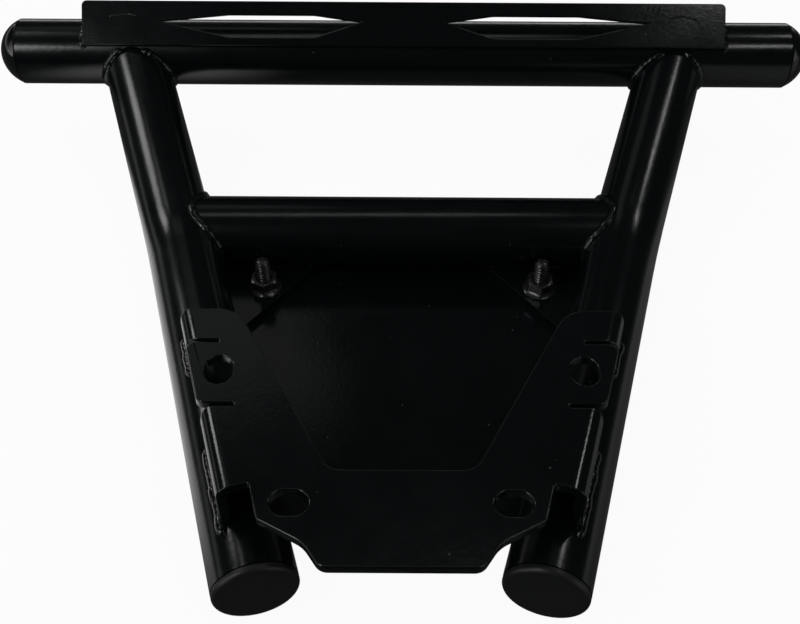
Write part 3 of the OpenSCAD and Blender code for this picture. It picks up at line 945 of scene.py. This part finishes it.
class BUMPER_OT_fasteners(bpy.types.Operator):
    """Makes the threaded studs with their countersunk heads, and the flange nuts"""

    bl_idname = "bumper.fasteners"
    bl_label = "Make the fasteners"

    def execute(self, context):
        given = sizes().fasteners
        low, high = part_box("skid_bolts")
        nut_low, nut_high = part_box("skid_nuts")
        head_r = (high.y - low.y) / 2
        x, y = high.x - head_r, middle("skid_bolts").y
        plate_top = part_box("skid_plate")[1].z
        points = bpy.data.meshes.new("studs")
        points.from_pydata([(sign * x, y, plate_top) for sign in SIDES.values()], [], [])
        studs = run_steps("studs", points, stud_group(), {
            "Radius": given.stud_radius, "Length": high.z - plate_top,
            "Pitch": given.thread_pitch, "Depth": given.thread_depth, "Coat": black_steel()})

        def hexagon(across):
            """A hexagon's radius at each angle, from its width across flats."""
            return lambda a: across / 2 / math.cos((a + math.pi / 6) % (math.pi / 3) - math.pi / 6)

        socket = 2.9 * math.sqrt(3) * MM
        shank = given.stud_radius
        under_nut = plate_top + 0.4 * MM
        form = bmesh.new()
        for sign in SIDES.values():
            place = Matrix.Translation((sign * x, y, 0))
            turned(form, [
                (0, 2.6 * MM), (hexagon(socket), 2.4 * MM), (hexagon(socket), 0.25 * MM),
                (hexagon(socket + 0.4 * MM), 0.05 * MM),
                (head_r - 0.25 * MM, 0.05 * MM), (head_r - 0.1 * MM, 0.2 * MM),
                (shank - 0.1 * MM, head_r - shank + 0.1 * MM),
                (shank - 0.6 * MM, under_nut), (0, under_nut),
            ], 72, place)
        heads = formed(form, "stud_heads", black_steel())
        for made in (studs, heads):
            stands_for(made, ["skid_bolts"])

        flange = (nut_high.x - nut_low.x) / 2 - x
        tall = nut_high.z - nut_low.z
        body = given.nut_across
        bore = shank + 0.05 * MM

        def shoulder(a):
            """The height of the nut's upper chamfer, lower at its corners."""
            return tall - max(0, hexagon(body)(a) - body * 0.485) * 0.6

        form = bmesh.new()
        for sign in SIDES.values():
            place = Matrix.Translation((sign * x, y, nut_low.z))
            turned(form, [
                (bore, 0.3 * MM), (bore + 0.5 * MM, 0.02 * MM), (flange - 0.3 * MM, 0.02 * MM),
                (flange, 0.3 * MM), (flange - 0.05 * MM, 0.95 * MM),
                (flange - 0.5 * MM, 1.25 * MM), (lambda a: hexagon(body)(a) + 0.35 * MM, 2.1 * MM),
                (hexagon(body), 2.6 * MM), (hexagon(body), shoulder),
                (body * 0.475, tall), (bore + 0.7 * MM, tall), (bore, tall - 0.6 * MM),
                (bore, 0.3 * MM),
            ], ROUND_STEPS, place)
        nuts = formed(form, "flange_nuts", black_steel(), sharp=28)
        stands_for(nuts, ["skid_nuts"])
        return {"FINISHED"}


class BUMPER_OT_stage(bpy.types.Operator):
    """Sets the pale floor, the soft lamps, the surroundings and the camera"""

    bl_idname = "bumper.stage"
    bl_label = "Set the stage"

    LAMPS = {
        # name: (position, width, height, brightness)
        "left softbox": ((-0.675, 0.315, 0.61), 0.22, 0.2, 3.8),
        "overhead strip": ((-0.1, 0.33, 1.51), 0.75, 0.16, 0.9),
        "overhead left": ((-0.78, 0.36, 1.42), 0.45, 0.16, 1.2),
        "rear left softbox": ((-0.82, -0.76, 0.99), 0.28, 0.46, 6.0),
        "rear right softbox": ((0.65, -0.41, 1.38), 0.3, 0.12, 5.0),
        "right strip": ((0.80, 0.61, 1.33), 0.1, 0.3, 6.5),
        "far left panel": ((-0.45, 0.95, 1.22), 0.6, 0.35, 0.15),
    }
    AIM = Vector((0, 0.03, 0.04))

    def execute(self, context):
        stage = sizes().stage
        self.floor()
        self.surroundings(stage.fill_level)
        for name, (at, wide, high, bright) in self.LAMPS.items():
            lamp = bpy.data.lights.new(name, "AREA")
            lamp.shape = "RECTANGLE"
            lamp.size, lamp.size_y = wide, high
            lamp.energy = 4 * wide * high * bright * stage.lamp_level
            made = bpy.data.objects.new(name, lamp)
            context.scene.collection.objects.link(made)
            made.location = at
            made.rotation_euler = (self.AIM - Vector(at)).to_track_quat("-Z", "Y").to_euler()
        camera = bpy.data.cameras.new("camera")
        camera.sensor_width = 36
        camera.lens = stage.lens
        camera.clip_start, camera.clip_end = 0.01, 50
        made = bpy.data.objects.new("camera", camera)
        context.scene.collection.objects.link(made)
        made.matrix_world = Matrix.Translation(stage.camera_at) @ \
            Matrix.Rotation(math.pi / 2 - stage.camera_down, 4, "X") @ \
            Matrix.Rotation(stage.camera_roll, 4, "Z")
        context.scene.camera = made
        context.scene.view_settings.view_transform = "Standard"
        return {"FINISHED"}

    def floor(self):
        """A pale floor, almost white to the camera. Shiny surfaces see it lit near the legs."""
        mesh = bpy.data.meshes.new("floor")
        reach, level, whiteness = 4.0, -0.3 * MM, 0.94
        mesh.from_pydata([(x * reach, y * reach, level) for x, y in
                          ((-1, -1), (1, -1), (1, 1), (-1, 1))], [], [(0, 1, 2, 3)])
        made, tree = material("pale floor")
        x, y, _ = tree.split(tree.place())
        seen, mirrored = tree.seen_and_mirrored()
        grain = tree.noise(tree.place(), 60 * MM, 3.0)
        paint = tree.node("ShaderNodeBsdfDiffuse", {}, {"Color": tree.mix(
            grain, rgba((0.80, 0.80, 0.80)), rgba((0.84, 0.84, 0.84)))})
        white = tree.node("ShaderNodeEmission", {}, {"Strength": 1.0})
        by_left_leg = (0 - x).rising(0.07, 0.14) * x.rising(-0.26, -0.2) * y.rising(-0.2, -0.08)
        by_right_leg = x.rising(0.08, 0.3)
        glow = tree.node("ShaderNodeEmission", {}, {
            "Strength": (by_left_leg * 0.95 + by_right_leg * 0.2) * (0 - y).rising(-0.16, -0.08)
            + y.rising(-0.35, -0.1) * 0.05})
        view = tree.node("ShaderNodeMixShader", {}, {0: seen * whiteness, 1: paint, 2: white})
        tree.node("ShaderNodeOutputMaterial", {}, {"Surface": tree.node(
            "ShaderNodeMixShader", {}, {0: mirrored, 1: view, 2: glow})})
        piece("floor", mesh, made)

    def surroundings(self, fill):
        """White to the camera. Shiny surfaces see a dark room with pale lower walls."""
        world = bpy.data.worlds.new("studio")
        bpy.context.scene.world = world
        world.use_nodes = True
        tree = Tree(world.node_tree)
        x, y, z = tree.split(tree.node("ShaderNodeTexCoord", output=0))
        seen, mirrored = tree.seen_and_mirrored()
        # By direction: beyond the top tube, left and right towards the viewer, and low at the left.
        back = y.rising(0.7, 0.95) * (1 - z.rising(0.08, 0.24)) * 1.6
        left = (0 - x).rising(0.5, 0.8) * (0 - y).rising(-0.2, 0.3) * (1 - z.rising(0.3, 0.6))
        right = x.rising(0.5, 0.8) * (0 - y).rising(0.0, 0.35) * (1 - z.rising(0.35, 0.6))
        low = (0 - x).rising(0.5, 0.8) * (1 - z.rising(0.03, 0.2))
        walls = back + left * 1.3 + low * 0.5 + right * 0.7 + 0.02
        strength = seen + (1 - seen) * (mirrored * walls + (1 - mirrored) * fill)
        tree.node("ShaderNodeOutputWorld", {}, {"Surface": tree.node(
            "ShaderNodeBackground", {}, {"Color": rgba((1, 1, 1)), "Strength": strength})})


class BUMPER_PT_panel(bpy.types.Panel):
    """Lists the bumper's steps and sizes"""

    bl_idname = "BUMPER_PT_panel"
    bl_label = "Bumper"
    bl_space_type = "VIEW_3D"
    bl_region_type = "UI"
    bl_category = "Bumper"

    def draw(self, context):
        for step in STEPS:
            self.layout.operator(step.bl_idname)
        for name, group in GROUPS.items():
            box = self.layout.box()
            box.label(text=group.__doc__)
            for prop in group.__annotations__:
                box.prop(getattr(context.scene.bumper, name), prop)


STEPS = (BUMPER_OT_stage, BUMPER_OT_tubes, BUMPER_OT_plates, BUMPER_OT_discs, BUMPER_OT_caps,
         BUMPER_OT_welds, BUMPER_OT_fasteners)
CLASSES = (*GROUPS.values(), BumperProps, *STEPS, BUMPER_PT_panel)


def register():
    """Adds the settings, the steps and the panel."""
    for item in CLASSES:
        bpy.utils.register_class(item)
    bpy.types.Scene.bumper = PointerProperty(type=BumperProps)


def unregister():
    """Takes away what register added."""
    del bpy.types.Scene.bumper
    for item in reversed(CLASSES):
        bpy.utils.unregister_class(item)


def main():
    """Runs the steps in order."""
    register()
    for step in STEPS:
        family, name = step.bl_idname.split(".")
        getattr(getattr(bpy.ops, family), name)()


if __name__ == "__main__":
    main()
